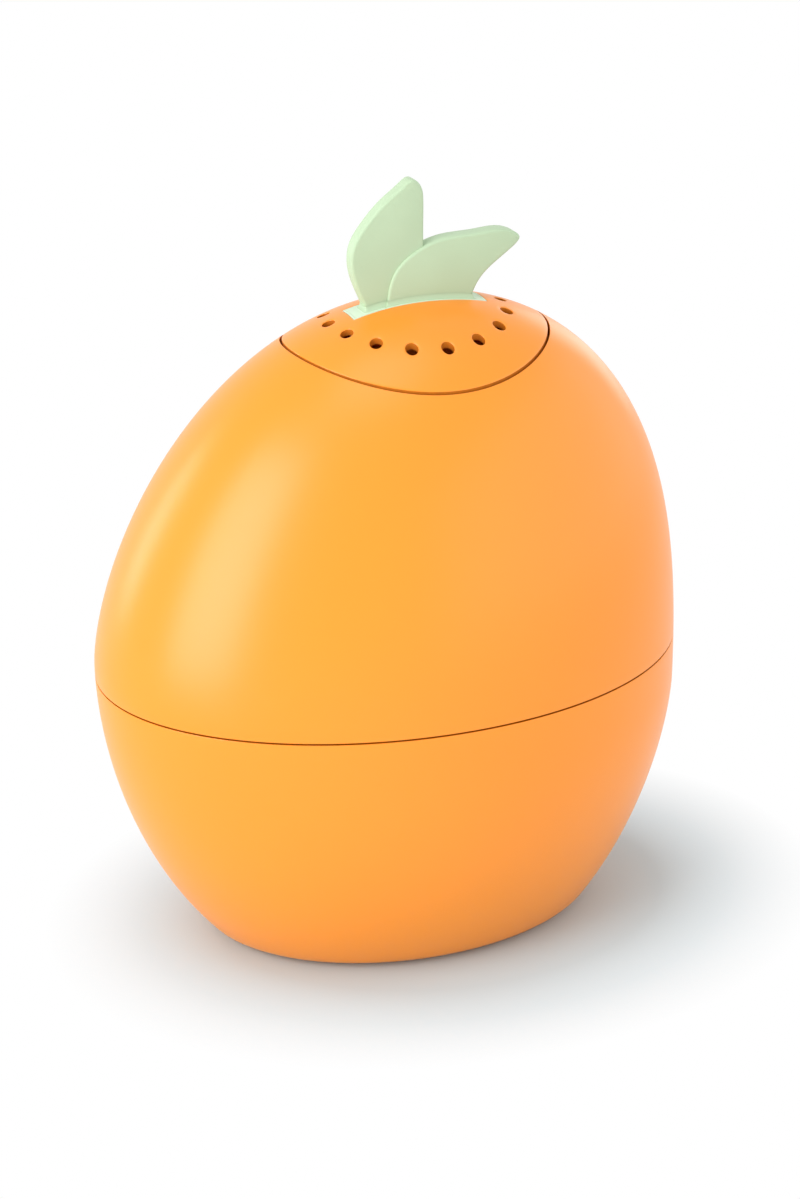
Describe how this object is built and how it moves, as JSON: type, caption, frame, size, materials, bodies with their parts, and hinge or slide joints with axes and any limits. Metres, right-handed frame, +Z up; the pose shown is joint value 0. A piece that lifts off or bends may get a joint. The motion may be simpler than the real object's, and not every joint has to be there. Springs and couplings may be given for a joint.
{
  "type": "fruit-shaped vented countertop pot",
  "caption": "Lopsided fruit-shaped pot in a bowl and a lift-off dome, with a flush vented cap lifted by a leaf-shaped grip on its crown.",
  "frame": {"origin": "on the surface the pot stands on, straight below the leaf grip's middle", "axes": "+Z up; +X towards the fruit's short, steeper end; -X towards its long, sloping end; the leaf lies in the XZ plane"},
  "size_m": [0.1193, 0.0868, 0.1519],
  "materials": {
    "orange_shell": "satin orange moulding, softly rounded highlights",
    "green_plastic": "satin pale sage green moulding",
    "grey_rubber": "fine-grained non-slip rubber",
    "clear_rubber": "cloudy natural silicone",
    "screw_steel": "bright zinc plate"
  },
  "bodies": {
    "bowl": {"lower_bowl": "orange_shell", "base_pad": "grey_rubber", "rim_seal": "clear_rubber"},
    "dome": {"upper_dome": "orange_shell"},
    "cap": {"vent_cap": "orange_shell", "cap_seal": "clear_rubber", "entry_funnel": "orange_shell", "leaf_grip": "green_plastic", "grip_screws": "screw_steel", "grip_washers": "screw_steel"}
  },
  "joints": [
    {"name": "dome_lift", "type": "slide", "parent": "bowl", "child": "dome", "axis": [0, 0, 1], "range_m": [0, 0.05]},
    {"name": "cap_lift", "type": "slide", "parent": "dome", "child": "cap", "axis": [0, 0, 1], "range_m": [0, 0.045]}
  ]
}
